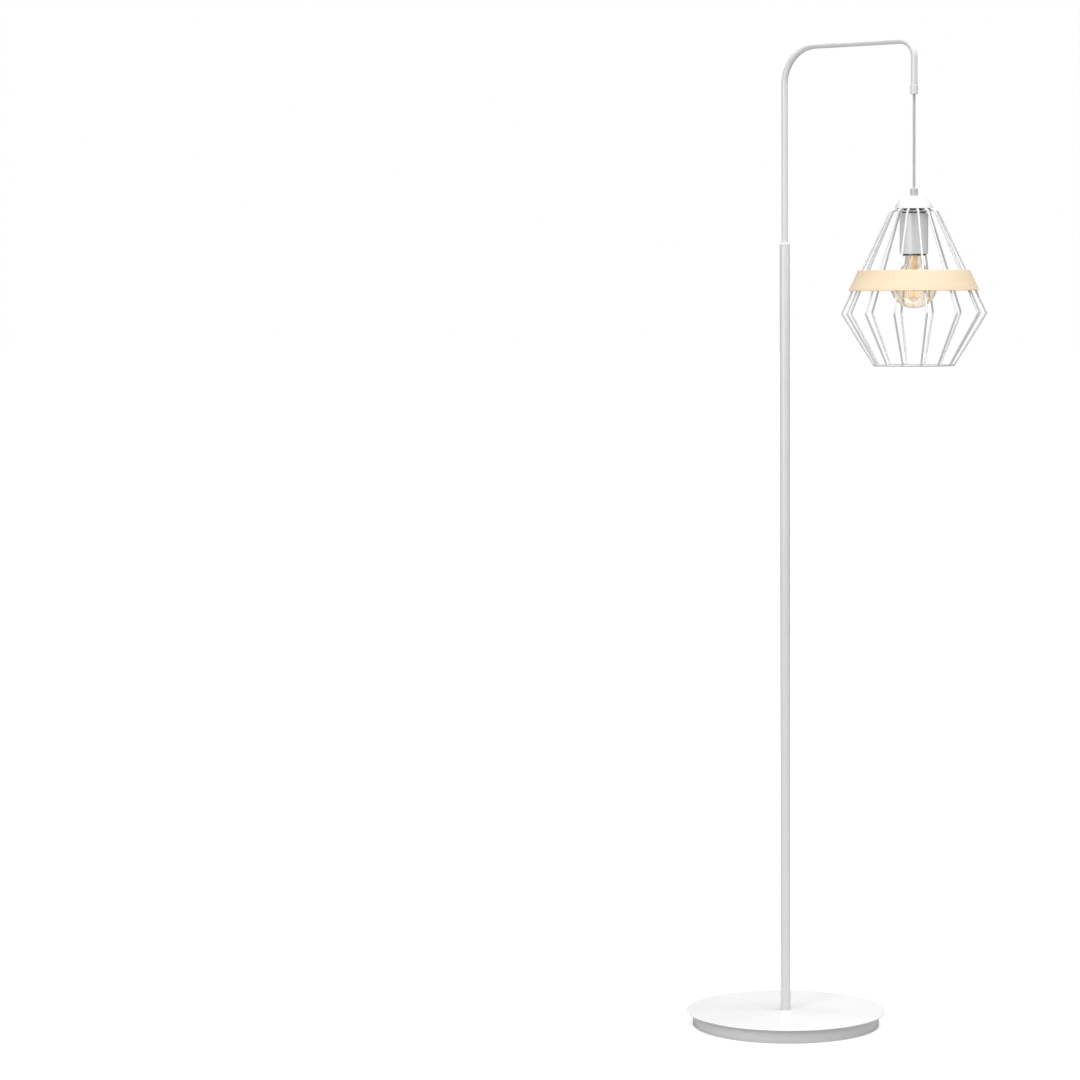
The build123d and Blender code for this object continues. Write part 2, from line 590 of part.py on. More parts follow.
for name, route, radius in (
    ("stand_flex", stand_route, FLEX_R), ("arm_flex", flex_route, FLEX_R), ("one wire", wire_route, WIRE_R),
):
    solid = {"stand_flex": stand_flex, "arm_flex": arm_flex, "one wire": one_wire}[name].part
    length = sum(edge.length for edge in route.line.edges())
    print(f"{name}: length {length:.1f}, section x length {math.pi * radius**2 * length:.1f}, volume {solid.volume:.1f}")
print(f"pendant cord: {FERRULE_FOOT - CORD_FOOT:.1f} from the ferrule's mouth to its lower end in the grip")
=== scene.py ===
import math

import bmesh
import bpy
from mathutils import Matrix, Vector


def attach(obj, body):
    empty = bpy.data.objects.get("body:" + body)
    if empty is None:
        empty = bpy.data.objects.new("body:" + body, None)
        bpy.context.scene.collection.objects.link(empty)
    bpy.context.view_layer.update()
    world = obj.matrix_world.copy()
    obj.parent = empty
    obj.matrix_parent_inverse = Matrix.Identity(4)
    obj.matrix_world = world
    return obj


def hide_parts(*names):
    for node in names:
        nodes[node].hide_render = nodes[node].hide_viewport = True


# Wire cage floor lamp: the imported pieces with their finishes, and the pieces that Blender adds.
# Metres, +Z up, the origin on the floor under the pole, the arm along +X.

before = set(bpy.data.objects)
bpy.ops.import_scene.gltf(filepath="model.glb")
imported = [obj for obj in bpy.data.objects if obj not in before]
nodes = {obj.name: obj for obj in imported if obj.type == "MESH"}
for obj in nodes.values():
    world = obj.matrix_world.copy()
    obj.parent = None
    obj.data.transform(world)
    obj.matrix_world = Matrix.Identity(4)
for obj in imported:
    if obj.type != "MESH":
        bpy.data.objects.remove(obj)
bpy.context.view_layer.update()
scene = bpy.context.scene
scene.view_settings.view_transform = "Standard"
scene.view_settings.look = "None"

REACH = 0.2705           # pole axis to cord axis
MOUTH = 1.6611           # height of the ferrule's mouth, where the cord leaves the arm


# ------------------------------------------------------------------ camera
YAW, PITCH, ROLL = 0.668222, -0.069900, -0.006168
FOCAL_PX = 3524.2
forward = Vector((-math.sin(YAW) * math.cos(PITCH), math.cos(YAW) * math.cos(PITCH), math.sin(PITCH)))
level = Vector((math.cos(YAW), math.sin(YAW), 0.0))
lift = level.cross(forward)
across = level * math.cos(ROLL) + lift * math.sin(ROLL)
upward = lift * math.cos(ROLL) - level * math.sin(ROLL)
camera = bpy.data.objects.new("camera", bpy.data.cameras.new("camera"))
scene.collection.objects.link(camera)
camera.matrix_world = Matrix.Translation((3.5579, -5.2162, 1.3215)) @ Matrix((across, upward, -forward)).transposed().to_4x4()
camera.data.sensor_width = 36.0
camera.data.lens = 36.0 * FOCAL_PX / 1080.0
camera.data.clip_start, camera.data.clip_end = 0.1, 200.0
scene.camera = camera


# ------------------------------------------------------------------ node helpers
def tree_of(material):
    material.use_nodes = True
    material.node_tree.nodes.clear()
    return material.node_tree


def node(tree, kind, **settings):
    made = tree.nodes.new(kind)
    for key, value in settings.items():
        setattr(made, key, value)
    return made


def link(tree, a, b):
    tree.links.new(a, b)


def object_space(tree, stretch=(1, 1, 1), shift=(0, 0, 0)):
    place = node(tree, "ShaderNodeTexCoord")
    mapping = node(tree, "ShaderNodeMapping")
    mapping.inputs["Scale"].default_value = stretch
    mapping.inputs["Location"].default_value = shift
    link(tree, place.outputs["Object"], mapping.inputs["Vector"])
    return mapping.outputs["Vector"]


def noise_of(tree, where, scale, detail=3.0, rough=0.5, distortion=0.0):
    made = node(tree, "ShaderNodeTexNoise")
    made.inputs["Scale"].default_value = scale
    made.inputs["Detail"].default_value = detail
    made.inputs["Roughness"].default_value = rough
    made.inputs["Distortion"].default_value = distortion
    link(tree, where, made.inputs["Vector"])
    return made.outputs["Fac"]


def ramp_of(tree, factor, stops, easing="LINEAR"):
    made = node(tree, "ShaderNodeValToRGB")
    made.color_ramp.interpolation = easing
    band = made.color_ramp.elements
    while len(band) < len(stops):
        band.new(0.5)
    for element, (place, colour) in zip(band, stops):
        element.position = place
        element.color = (*colour, 1.0)
    link(tree, factor, made.inputs["Fac"])
    return made.outputs["Color"]


def spread(tree, value, low, high, new_low, new_high, smooth=False):
    made = node(tree, "ShaderNodeMapRange")
    made.interpolation_type = "SMOOTHSTEP" if smooth else "LINEAR"
    made.inputs["From Min"].default_value = low
    made.inputs["From Max"].default_value = high
    made.inputs["To Min"].default_value = new_low
    made.inputs["To Max"].default_value = new_high
    link(tree, value, made.inputs["Value"])
    return made.outputs["Result"]


def sums(tree, kind, a, b=None, clamp=False):
    made = node(tree, "ShaderNodeMath", operation=kind, use_clamp=clamp)
    for socket, value in zip(made.inputs, (a, b)):
        if value is None:
            continue
        if isinstance(value, (int, float)):
            socket.default_value = value
        else:
            link(tree, value, socket)
    return made.outputs[0]


def blended(tree, factor, a, b, kind="MIX"):
    made = node(tree, "ShaderNodeMix", data_type="RGBA", blend_type=kind)
    if isinstance(factor, (int, float)):
        made.inputs["Factor"].default_value = factor
    else:
        link(tree, factor, made.inputs["Factor"])
    for socket, value in ((made.inputs["A"], a), (made.inputs["B"], b)):
        if isinstance(value, tuple):
            socket.default_value = (*value, 1.0)
        else:
            link(tree, value, socket)
    return made.outputs["Result"]


def bumped(tree, height, strength, distance, under=None):
    made = node(tree, "ShaderNodeBump")
    made.inputs["Strength"].default_value = strength
    made.inputs["Distance"].default_value = distance
    link(tree, height, made.inputs["Height"])
    if under is not None:
        link(tree, under, made.inputs["Normal"])
    return made.outputs["Normal"]


def principled(tree, **settings):
    bsdf = node(tree, "ShaderNodeBsdfPrincipled")
    for key, value in settings.items():
        bsdf.inputs[key.replace("_", " ")].default_value = value
    out = node(tree, "ShaderNodeOutputMaterial")
    link(tree, bsdf.outputs["BSDF"], out.inputs["Surface"])
    return bsdf, out


def finish(
    name, pale, dark, tone_scale, rough, rough_scale, bump_scale, bump_strength, bump_distance,
    stretch=(1, 1, 1), detail=3.0, ramp=(0.3, 0.7), **settings,
):
    """A surface with its own slight change of tone, of gloss and of height."""
    material = bpy.data.materials.new(name)
    tree = tree_of(material)
    bsdf, _ = principled(tree, **settings)
    where = object_space(tree, stretch)
    tone = noise_of(tree, where, tone_scale, detail)
    link(tree, ramp_of(tree, tone, [(ramp[0], dark), (ramp[1], pale)]), bsdf.inputs["Base Color"])
    gloss = noise_of(tree, where, rough_scale, 2.0)
    link(tree, spread(tree, gloss, 0.3, 0.7, rough[0], rough[1]), bsdf.inputs["Roughness"])
    grain = noise_of(tree, where, bump_scale, 2.0)
    link(tree, bumped(tree, grain, bump_strength, bump_distance), bsdf.inputs["Normal"])
    return material


# ------------------------------------------------------------------ finishes
def powder_coat(name, pale, dark, rough, coat=0.55, coat_rough=0.10, given_back=None):
    """Baked white powder coat: a fine orange peel, a broad slight waviness and faint specks in its gloss.

    given_back dims the light that the surface throws back on its neighbours, as a card held over it would.
    """
    material = bpy.data.materials.new(name)
    tree = tree_of(material)
    bsdf, _ = principled(tree, IOR=1.5, Coat_Weight=coat, Coat_Roughness=coat_rough, Coat_IOR=1.5)
    where = object_space(tree)
    broad = noise_of(tree, where, 9.0, 4.0)
    fleck = noise_of(tree, where, 900.0, 2.0)
    mixed = sums(tree, "ADD", sums(tree, "MULTIPLY", broad, 0.75), sums(tree, "MULTIPLY", fleck, 0.25))
    tone = ramp_of(tree, mixed, [(0.34, dark), (0.62, pale)])
    if given_back is not None:
        path = node(tree, "ShaderNodeLightPath")
        tone = blended(tree, path.outputs["Is Diffuse Ray"], tone, (given_back, given_back, given_back))
    link(tree, tone, bsdf.inputs["Base Color"])
    link(tree, spread(tree, mixed, 0.35, 0.65, rough[0], rough[1]), bsdf.inputs["Roughness"])
    peel = noise_of(tree, where, 620.0, 2.0, 0.4)
    wave = noise_of(tree, where, 55.0, 2.0, 0.4)
    first = bumped(tree, wave, 0.05, 0.0006)
    link(tree, bumped(tree, peel, 0.10, 0.00008, under=first), bsdf.inputs["Normal"])
    return material


def pale_timber():
    """A bent strip of pale beech: grain that runs round the band, soft growth bands, fine pores and short flecks."""
    material = bpy.data.materials.new("pale_wood_grain")
    tree = tree_of(material)
    bsdf, _ = principled(tree, IOR=1.46, Coat_Weight=0.08, Coat_Roughness=0.35, Sheen_Weight=0.05, Sheen_Roughness=0.5)
    about = object_space(tree, (1, 1, 1), (-REACH, 0, -1.34))
    # growth bands: wide, soft, wandering slowly round the band
    stretched = node(tree, "ShaderNodeMapping")
    stretched.inputs["Scale"].default_value = (3.2, 3.2, 70.0)
    link(tree, about, stretched.inputs["Vector"])
    growth = noise_of(tree, stretched.outputs["Vector"], 1.0, 4.0, 0.55, 0.35)
    # fine lines of grain
    fine = node(tree, "ShaderNodeMapping")
    fine.inputs["Scale"].default_value = (14.0, 14.0, 620.0)
    link(tree, about, fine.inputs["Vector"])
    lines = noise_of(tree, fine.outputs["Vector"], 1.0, 5.0, 0.6)
    # short dark flecks, a few millimetres long
    short = node(tree, "ShaderNodeMapping")
    short.inputs["Scale"].default_value = (190.0, 190.0, 1500.0)
    link(tree, about, short.inputs["Vector"])
    flecks = node(tree, "ShaderNodeTexVoronoi", feature="F1")
    flecks.inputs["Scale"].default_value = 1.0
    flecks.inputs["Randomness"].default_value = 1.0
    link(tree, short.outputs["Vector"], flecks.inputs["Vector"])
    dash = spread(tree, flecks.outputs["Distance"], 0.08, 0.26, 1.0, 0.0, smooth=True)
    base = ramp_of(
        tree, growth,
        [(0.28, (0.812, 0.632, 0.430)), (0.47, (0.845, 0.682, 0.480)), (0.68, (0.868, 0.712, 0.512))], "EASE",
    )
    toned = blended(tree, spread(tree, lines, 0.44, 0.68, 0.0, 0.19), base, (0.705, 0.500, 0.315))
    patchy = noise_of(tree, about, 22.0, 2.0)
    marked = blended(
        tree, sums(tree, "MULTIPLY", dash, spread(tree, patchy, 0.4, 0.6, 0.06, 0.34)), toned, (0.600, 0.390, 0.220),
    )
    # painted light: the light it throws back on its neighbours is painted a pale grey, so they take up little of its
    # colour
    path = node(tree, "ShaderNodeLightPath")
    bounced = sums(tree, "MULTIPLY", sums(tree, "MAXIMUM", path.outputs["Is Diffuse Ray"], path.outputs["Is Glossy Ray"]), 0.75)
    link(tree, blended(tree, bounced, marked, (0.680, 0.670, 0.655)), bsdf.inputs["Base Color"])
    link(tree, spread(tree, lines, 0.3, 0.7, 0.44, 0.58), bsdf.inputs["Roughness"])
    first = bumped(tree, lines, 0.22, 0.00012)
    link(tree, bumped(tree, dash, -0.25, 0.00010, under=first), bsdf.inputs["Normal"])
    return material


def amber_bulb_glass():
    """Thin pale amber glass: tinted more where it is seen edge on, with darker streaks painted in as reflections,
    faintly seeded, and lamps shine through it.
    """
    material = bpy.data.materials.new("amber_glass_clear")
    tree = tree_of(material)
    bsdf, out = principled(tree, IOR=1.46, Transmission_Weight=1.0, Roughness=0.0, Specular_IOR_Level=0.5)
    edge = node(tree, "ShaderNodeLayerWeight")
    edge.inputs["Blend"].default_value = 0.38
    where = object_space(tree)
    seeds = noise_of(tree, where, 42.0, 1.2, 0.4)
    tint = ramp_of(
        tree, edge.outputs["Facing"],
        [(0.0, (0.930, 0.882, 0.815)), (0.44, (0.885, 0.812, 0.720)), (0.80, (0.600, 0.495, 0.375))],
    )
    # painted reflection: darker streaks, standing in for the surroundings reflected in the globe, run from the neck to
    # the crown
    split = node(tree, "ShaderNodeSeparateXYZ")
    link(tree, object_space(tree, (1, 1, 1), (-REACH, 0, 0)), split.inputs["Vector"])
    swing = sums(tree, "ARCTAN2", split.outputs["Y"], split.outputs["X"])
    streak_coords = node(tree, "ShaderNodeCombineXYZ")
    link(tree, sums(tree, "MULTIPLY", sums(tree, "COSINE", swing), 2.6), streak_coords.inputs["X"])
    link(tree, sums(tree, "MULTIPLY", sums(tree, "SINE", swing), 2.6), streak_coords.inputs["Y"])
    link(tree, sums(tree, "MULTIPLY", split.outputs["Z"], 22.0), streak_coords.inputs["Z"])
    painted_reflection_streaks = noise_of(tree, streak_coords.outputs["Vector"], 1.0, 4.0, 0.55, 0.9)
    darker = blended(tree, spread(tree, painted_reflection_streaks, 0.48, 0.66, 0.0, 0.62), tint, (0.690, 0.605, 0.490))
    link(tree, blended(tree, spread(tree, seeds, 0.4, 0.7, 0.0, 0.10), darker, (0.90, 0.80, 0.67)), bsdf.inputs["Base Color"])
    link(tree, bumped(tree, seeds, 0.016, 0.0008), bsdf.inputs["Normal"])
    through = node(tree, "ShaderNodeBsdfTransparent")
    through.inputs["Color"].default_value = (0.93, 0.86, 0.76, 1.0)
    path = node(tree, "ShaderNodeLightPath")
    mix = node(tree, "ShaderNodeMixShader")
    link(tree, path.outputs["Is Shadow Ray"], mix.inputs[0])
    link(tree, bsdf.outputs["BSDF"], mix.inputs[1])
    link(tree, through.outputs["BSDF"], mix.inputs[2])
    link(tree, mix.outputs["Shader"], out.inputs["Surface"])
    return material


def stem_glass():
    """The bulb's glass stem, filled with the filament's orange glow, strongest at its lower end."""
    material = bpy.data.materials.new("stem_glass_lit")
    tree = tree_of(material)
    bsdf, _ = principled(tree, IOR=1.46, Transmission_Weight=0.35, Specular_IOR_Level=0.6)
    where = object_space(tree)
    height = node(tree, "ShaderNodeSeparateXYZ")
    link(tree, where, height.inputs["Vector"])
    streak = noise_of(tree, object_space(tree, (300, 300, 22)), 1.0, 3.0)
    rise = spread(tree, height.outputs["Z"], 1.3095, 1.3900, 0.0, 1.0)
    glow = ramp_of(
        tree, rise,
        [(0.0, (1.0, 0.52, 0.24)), (0.08, (0.98, 0.66, 0.36)), (0.40, (0.95, 0.70, 0.44)), (0.62, (0.95, 0.75, 0.51)),
         (0.74, (0.93, 0.81, 0.64)), (1.0, (0.86, 0.76, 0.63))],
    )
    link(tree, glow, bsdf.inputs["Base Color"])
    link(tree, glow, bsdf.inputs["Emission Color"])
    link(
        tree, sums(tree, "MULTIPLY", spread(tree, streak, 0.3, 0.7, 0.5, 1.1), spread(tree, rise, 0.0, 1.0, 0.32, 0.17)),
        bsdf.inputs["Emission Strength"],
    )
    link(tree, spread(tree, streak, 0.3, 0.7, 0.05, 0.16), bsdf.inputs["Roughness"])
    link(tree, bumped(tree, streak, 0.1, 0.0003), bsdf.inputs["Normal"])
    return material


def hot_filament():
    material = bpy.data.materials.new("filament_glow")
    tree = tree_of(material)
    bsdf, _ = principled(tree, Roughness=0.6)
    where = object_space(tree)
    along = noise_of(tree, where, 420.0, 2.0)
    link(tree, ramp_of(tree, along, [(0.3, (1.0, 0.50, 0.12)), (0.7, (1.0, 0.72, 0.28))]), bsdf.inputs["Base Color"])
    link(tree, ramp_of(tree, along, [(0.3, (1.0, 0.56, 0.16)), (0.7, (1.0, 0.78, 0.36))]), bsdf.inputs["Emission Color"])
    link(tree, spread(tree, along, 0.3, 0.7, 0.75, 1.15), bsdf.inputs["Emission Strength"])
    link(tree, bumped(tree, along, 0.2, 0.0001), bsdf.inputs["Normal"])
    return material


def ribbed_foam():
    """Closed-cell foam with open pores on its skin, the pores darkened with painted shade."""
    material = bpy.data.materials.new("foam_pad_cells")
    tree = tree_of(material)
    bsdf, _ = principled(tree, Specular_IOR_Level=0.2)
    where = object_space(tree)
    cells = node(tree, "ShaderNodeTexVoronoi", feature="F1")
    cells.inputs["Scale"].default_value = 900.0
    link(tree, where, cells.inputs["Vector"])
    # painted shade: darker towards the centre of each pore
    tone = ramp_of(tree, cells.outputs["Distance"], [(0.05, (0.020, 0.020, 0.021)), (0.6, (0.075, 0.075, 0.078))])
    link(tree, tone, bsdf.inputs["Base Color"])
    link(tree, spread(tree, cells.outputs["Distance"], 0.0, 0.7, 0.95, 0.8), bsdf.inputs["Roughness"])
    link(tree, bumped(tree, cells.outputs["Distance"], 0.7, 0.0004), bsdf.inputs["Normal"])
    return material


PAINT = powder_coat("white_powder_coat", (0.875, 0.875, 0.872), (0.835, 0.836, 0.836), (0.28, 0.38))
PLATE = powder_coat(
    "white_powder_coat_plate", (0.862, 0.862, 0.860), (0.836, 0.837, 0.837), (0.32, 0.42), 0.45, 0.16, given_back=0.34,
)
GRIP = powder_coat("grey_white_grip", (0.610, 0.610, 0.613), (0.560, 0.561, 0.566), (0.24, 0.34), 0.6, 0.08)
SATIN = powder_coat("white_satin_sleeve", (0.850, 0.858, 0.864), (0.815, 0.824, 0.832), (0.30, 0.40), 0.12, 0.25)
FLEX = finish(
    "white_flex_sheath", (0.610, 0.610, 0.608), (0.550, 0.550, 0.550), 60.0, (0.34, 0.48), 180.0, 700.0, 0.15, 0.0001,
    IOR=1.52, Coat_Weight=0.05, Coat_Roughness=0.3,
)
NYLON = finish(
    "white_nylon_moulded", (0.840, 0.838, 0.820), (0.775, 0.772, 0.750), 110.0, (0.40, 0.54), 260.0, 1100.0, 0.12, 0.0001,
    IOR=1.53, Subsurface_Weight=0.08, Subsurface_Radius=(0.001, 0.001, 0.001),
)
PHENOLIC = finish(
    "black_phenolic_moulded", (0.125, 0.122, 0.120), (0.070, 0.068, 0.067), 240.0, (0.20, 0.32), 320.0, 900.0, 0.12, 0.0001,
    IOR=1.6, Coat_Weight=0.7, Coat_Roughness=0.08,
)
WASHER = finish(
    "dark_insulating_fibre", (0.075, 0.070, 0.066), (0.030, 0.028, 0.027), 300.0, (0.55, 0.75), 300.0, 1200.0, 0.3, 0.0001,
)
PORCELAIN = finish(
    "glazed_porcelain", (0.86, 0.85, 0.82), (0.80, 0.79, 0.75), 90.0, (0.10, 0.20), 120.0, 260.0, 0.08, 0.0002,
    IOR=1.55, Coat_Weight=0.6, Coat_Roughness=0.06,
)
BLOCK = finish(
    "terminal_block_plastic", (0.78, 0.76, 0.70), (0.70, 0.68, 0.62), 150.0, (0.38, 0.5), 240.0, 900.0, 0.15, 0.0001, IOR=1.5,
)
ZINC = finish(
    "zinc_plated_steel", (0.72, 0.73, 0.74), (0.50, 0.52, 0.54), 130.0, (0.22, 0.42), 180.0, 600.0, 0.12, 0.0001,
    detail=5.0, Metallic=1.0,
)
IRON = finish(
    "cast_iron_dressed", (0.095, 0.092, 0.090), (0.040, 0.038, 0.037), 80.0, (0.55, 0.80), 160.0, 420.0, 0.55, 0.0006,
    detail=6.0, Metallic=0.55,
)
BRASS = finish(
    "brass_turned", (0.86, 0.62, 0.28), (0.66, 0.43, 0.17), 150.0, (0.20, 0.38), 240.0, 900.0, 0.12, 0.00008,
    stretch=(1, 1, 6), Metallic=1.0,
)
CAP_METAL = finish(
    "cap_nickel_aluminium", (0.78, 0.77, 0.75), (0.60, 0.59, 0.57), 180.0, (0.22, 0.38), 240.0, 900.0, 0.12, 0.0001,
    stretch=(1, 1, 8), Metallic=1.0,
)
SOLDER = finish(
    "solder_dull", (0.62, 0.62, 0.62), (0.42, 0.42, 0.43), 600.0, (0.30, 0.5), 500.0, 700.0, 0.3, 0.0002, Metallic=1.0,
)
HOOKS = finish(
    "nickel_hook_wire", (0.66, 0.60, 0.52), (0.46, 0.38, 0.30), 500.0, (0.25, 0.4), 500.0, 900.0, 0.1, 0.0001, Metallic=1.0,
)
BULB_INSULATOR = finish(
    "cap_insulator_glass", (0.060, 0.045, 0.055), (0.020, 0.014, 0.020), 300.0, (0.08, 0.2), 300.0, 600.0, 0.1, 0.0002,
    IOR=1.55, Coat_Weight=0.4, Coat_Roughness=0.1,
)
WOOD = pale_timber()
GLASS = amber_bulb_glass()
STEM = stem_glass()
GLOW = hot_filament()
FOAM = ribbed_foam()

FINISHES = {
    PLATE: ("base_plate",),
    PAINT: (
        "base_skirt", "pole", "arm_tube", "tip_ferrule", "dome_cap", "hub_disc",
        "cage_wires", "cage_mouth_ring",
    ),
    SATIN: ("lampholder_sleeve",),
    GRIP: ("cord_grip",),
    FLEX: ("stand_flex", "arm_flex", "shade_flex", "pendant_cord", "cord_root"),
    NYLON: ("inlet_gland", "inlet_gland_nut", "pole_stop_bush", "pole_top_bush", "arm_guide_bush"),
    PHENOLIC: ("lampholder_cap", "lampholder_skirt"),
    WASHER: ("insulating_washer",),
    PORCELAIN: ("holder_insulator",),
    BLOCK: ("terminal_block",),
    ZINC: (
        "bottom_cover", "cover_screws", "terminal_screws", "pole_nipple", "nipple_washer", "nipple_nut",
        "pole_foot_insert", "cord_stop_sleeve", "grip_screw", "shade_nipple", "dome_locknut", "hub_nut",
    ),
    IRON: ("ballast_weight",),
    BRASS: ("holder_screw_shell", "holder_centre_contact", "holder_terminal_screws"),
    CAP_METAL: ("bulb_screw_cap",),
    SOLDER: ("bulb_contact_tip",),
    BULB_INSULATOR: ("bulb_cap_insulator",),
    HOOKS: ("filament_hooks",),
    GLASS: ("bulb_glass",),
    STEM: ("bulb_stem",),
    GLOW: ("bulb_filament",),
    WOOD: ("wood_band",),
    FOAM: ("floor_pad",),
}
for material, names in FINISHES.items():
    for name in names:
        piece = nodes[name]
        if not piece.material_slots:
            piece.data.materials.append(material)
        for slot in piece.material_slots:
            slot.material = material


# ------------------------------------------------------------------ hanging cord
def curve_piece(name, points, radius, order=3, spline_kind="NURBS", resolution=12, round_steps=8):
    data = bpy.data.curves.new(name, "CURVE")
    data.dimensions = "3D"
    data.bevel_depth = radius
    data.bevel_resolution = round_steps
    data.use_fill_caps = True
    data.resolution_u = resolution
    spline = data.splines.new(spline_kind)
    spline.points.add(len(points) - 1)
    for point, place in zip(spline.points, points):
        point.co = (*place, 1.0)
    if spline_kind == "NURBS":
        spline.order_u = order
        spline.use_endpoint_u = True
    made = bpy.data.objects.new(name, data)
    scene.collection.objects.link(made)
    return made


CORD_FOOT = 1.4916
cord_line = [
    (REACH, 0.0, MOUTH), (REACH, 0.0, 1.6046), (REACH, 0.0, 1.5481), (REACH, 0.0, CORD_FOOT),
]
cord = curve_piece("hanging_cord", cord_line, 0.00235)
cord.data.materials.append(FLEX)
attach(cord, "cord")
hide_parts("pendant_cord")


# ------------------------------------------------------------------ filament, strung up and down between its hooks
def filament_points():
    """One thread that goes down and up round the stem, loose and slightly bowed between its hooks."""
    points, count = [], 12
    for i in range(count):
        a, b = 2 * math.pi * i / count, 2 * math.pi * (i + 1) / count
        start, end = (1.3510, 1.3112) if i % 2 == 0 else (1.3112, 1.3510)
        angle = a + math.pi / count
        for step in range(9):
            t = step / 8
            z = start + (end - start) * (t * t * (3 - 2 * t))
            bow = 0.00035 * math.sin(math.pi * t) * math.sin(3.1 * i + 5.0 * t)
            turn = angle + (t - 0.5) * (b - a) * 0.62
            radius = 0.0109 + bow
            points.append((REACH + radius * math.cos(turn), radius * math.sin(turn), z))
    return points


filament = curve_piece("squirrel_cage_filament", filament_points(), 0.00021, order=3, resolution=6, round_steps=3)
filament.data.materials.append(GLOW)
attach(filament, "bulb")
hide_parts("bulb_filament")


# ------------------------------------------------------------------ weld beads of the cage
WIRES, PHASE, WIRE_R = 14, math.radians(-47.6), 0.0018
MOUTH_R, MOUTH_Z = 0.0695, 1.1930
HUB_R, HUB_TOP, WIRE_AXIS = 0.0300, 1.4600, 1.46182


def bead(mesh, centre, axes, sizes, seed):
    """Adds one weld bead: a small flattened drop with an uneven skin."""
    made = bmesh.ops.create_icosphere(mesh, subdivisions=3, radius=1.0)
    along, side, top = axes
    for vertex in made["verts"]:
        x, y, z = vertex.co
        ripple = 1.0 + 0.05 * math.sin(7.0 * x + seed) * math.cos(6.0 * y - 2.0 * seed) + 0.03 * math.sin(11.0 * z + 3.0 * seed)
        vertex.co = Vector(centre) + (along * x * sizes[0] + side * y * sizes[1] + top * z * sizes[2]) * ripple


welds = bmesh.new()
run = Vector((0.125 - MOUTH_R, 0, 1.2832 - MOUTH_Z)).normalized()
for i in range(WIRES):
    angle = PHASE + 2 * math.pi * i / WIRES
    out = Vector((math.cos(angle), math.sin(angle), 0.0))
    side = Vector((-math.sin(angle), math.cos(angle), 0.0))
    rise = Vector((0, 0, 1.0))
    wire_way = (out * run.x + rise * run.z).normalized()
    across_way = side.cross(wire_way)
    foot = Vector((REACH, 0, 0)) + out * MOUTH_R + rise * MOUTH_Z + wire_way * 0.0022
    bead(welds, foot, (side, wire_way, across_way), (0.00285, 0.00135, 0.00195), 1.7 * i)
    rim = Vector((REACH, 0, 0)) + out * (HUB_R - 0.0012) + rise * (HUB_TOP + 0.0003)
    bead(welds, rim, (out, side, rise), (0.0016, 0.0030, 0.0008), 2.3 * i + 0.7)
data = bpy.data.meshes.new("cage_weld_beads")
welds.to_mesh(data)
welds.free()
for face in data.polygons:
    face.use_smooth = True
data.materials.append(PAINT)
beads = bpy.data.objects.new("cage_weld_beads", data)
scene.collection.objects.link(beads)
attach(beads, "shade")


# ------------------------------------------------------------------ floor
floor_mesh = bmesh.new()
bmesh.ops.create_grid(floor_mesh, x_segments=8, y_segments=8, size=60.0)
for vertex in floor_mesh.verts:
    vertex.co.z = -0.0002
floor_data = bpy.data.meshes.new("studio_floor")
floor_mesh.to_mesh(floor_data)
floor_mesh.free()
floor = bpy.data.objects.new("studio_floor", floor_data)
scene.collection.objects.link(floor)
floor_paint = bpy.data.materials.new("studio_floor_paint")
tree = tree_of(floor_paint)
path = node(tree, "ShaderNodeLightPath")
diffuse = node(tree, "ShaderNodeBsdfDiffuse")
where = object_space(tree)
paper = noise_of(tree, where, 3.0, 3.0)
seen = ramp_of(tree, paper, [(0.3, (0.95, 0.95, 0.95)), (0.7, (0.97, 0.97, 0.97))])
spot = node(tree, "ShaderNodeVectorMath", operation="LENGTH")
link(tree, where, spot.inputs[0])
# painted light: the light that the floor throws back is a paler pool round the base, darker farther out
painted_bounce_pool = ramp_of(
    tree, spread(tree, spot.outputs["Value"], 0.22, 1.1, 0.0, 1.0), [(0.0, (0.40, 0.40, 0.40)), (1.0, (0.26, 0.26, 0.26))], "EASE",
)
direct = sums(tree, "MAXIMUM", path.outputs["Is Camera Ray"], path.outputs["Is Transmission Ray"])
link(tree, blended(tree, direct, painted_bounce_pool, seen), diffuse.inputs["Color"])
lit = node(tree, "ShaderNodeEmission")
lit.inputs["Color"].default_value = (1.0, 1.0, 1.0, 1.0)
link(tree, sums(tree, "MULTIPLY", direct, 0.45), lit.inputs["Strength"])
both = node(tree, "ShaderNodeAddShader")
link(tree, diffuse.outputs["BSDF"], both.inputs[0])
link(tree, lit.outputs["Emission"], both.inputs[1])
out = node(tree, "ShaderNodeOutputMaterial")
link(tree, both.outputs["Shader"], out.inputs["Surface"])
floor_data.materials.append(floor_paint)


# ------------------------------------------------------------------ studio light
def soft_box(name, place, target, width, height, watts, colour=(1, 1, 1)):
    data = bpy.data.lights.new(name, "AREA")
    data.shape, data.size, data.size_y, data.energy, data.color = "RECTANGLE", width, height, watts, colour
    made = bpy.data.objects.new(name, data)
    scene.collection.objects.link(made)
    way = Vector(target) - Vector(place)
    made.matrix_world = Matrix.Translation(place) @ way.to_track_quat("-Z", "Y").to_matrix().to_4x4()
    return made


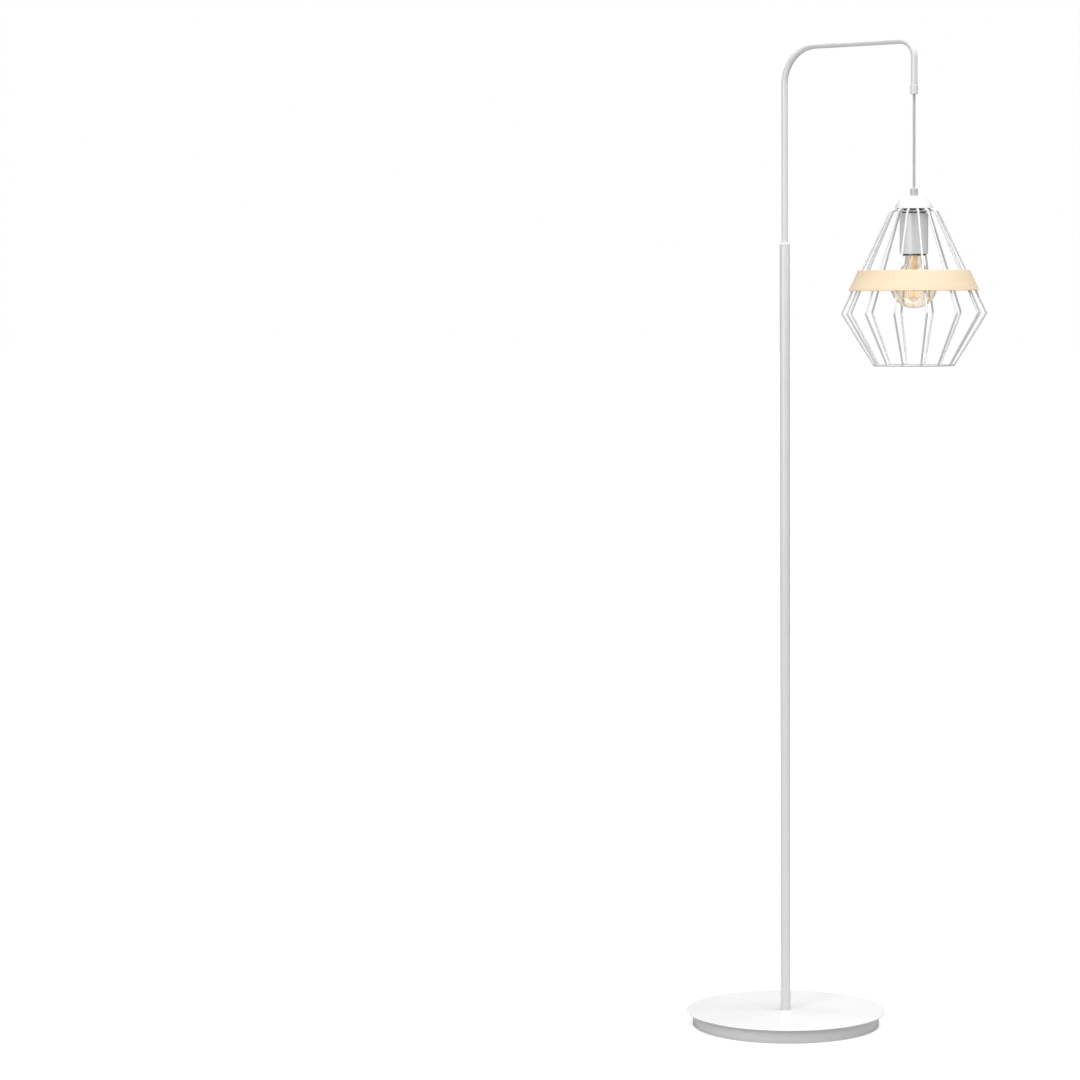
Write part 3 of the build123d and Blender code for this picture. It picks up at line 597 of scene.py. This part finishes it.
soft_box("overhead_soft_box", (0.8, 0.1, 6.0), (0.15, 0.0, 0.5), 4.4, 4.4, 262.0)
soft_box("key_soft_box", (0.2, -3.3, 1.9), (0.15, 0.0, 0.9), 1.3, 2.6, 40.0)
soft_box("rear_soft_box", (-1.7, 2.75, 3.3), (0.15, 0.0, 0.9), 1.6, 1.6, 24.0)

world = bpy.data.worlds.new("studio")
scene.world = world
world.use_nodes = True
tree = world.node_tree
tree.nodes.clear()
place = node(tree, "ShaderNodeTexCoord")
split = node(tree, "ShaderNodeSeparateXYZ")
link(tree, place.outputs["Generated"], split.inputs["Vector"])
height = spread(tree, split.outputs["Z"], -1.0, 1.0, 0.0, 1.0)
sky = ramp_of(
    tree, height,
    [(0.0, (0.34, 0.34, 0.34)), (0.5, (0.34, 0.34, 0.345)), (0.72, (0.72, 0.72, 0.725)), (1.0, (1.30, 1.30, 1.30))], "EASE",
)
# a dark flag on the left of the lamp, a pale wall on its right
sides = node(tree, "ShaderNodeVectorMath", operation="DOT_PRODUCT")
sides.inputs[1].default_value = (0.827, 0.562, 0.0)
link(tree, place.outputs["Generated"], sides.inputs[0])
flag = spread(tree, sides.outputs["Value"], -1.0, 1.0, 0.0, 1.0)
sky = blended(tree, 1.0, sky, ramp_of(tree, flag, [(0.0, (0.60, 0.60, 0.60)), (1.0, (1.10, 1.10, 1.10))]), kind="MULTIPLY")
# and a dark drape behind it, which draws the edges of the tubes
behind = node(tree, "ShaderNodeVectorMath", operation="DOT_PRODUCT")
behind.inputs[1].default_value = (-0.562, 0.827, 0.0)
link(tree, place.outputs["Generated"], behind.inputs[0])
drape = spread(tree, behind.outputs["Value"], 0.0, 0.9, 0.0, 1.0, smooth=True)
sky = blended(tree, 1.0, sky, ramp_of(tree, drape, [(0.0, (1.0, 1.0, 1.0)), (1.0, (0.36, 0.36, 0.36))]), kind="MULTIPLY")
path = node(tree, "ShaderNodeLightPath")
direct = sums(tree, "MAXIMUM", path.outputs["Is Camera Ray"], path.outputs["Is Transmission Ray"])
shown = blended(tree, direct, sky, (1.0, 1.0, 1.0))
back = node(tree, "ShaderNodeBackground")
back.inputs["Strength"].default_value = 1.0
link(tree, shown, back.inputs["Color"])
out = node(tree, "ShaderNodeOutputWorld")
link(tree, back.outputs["Background"], out.inputs["Surface"])
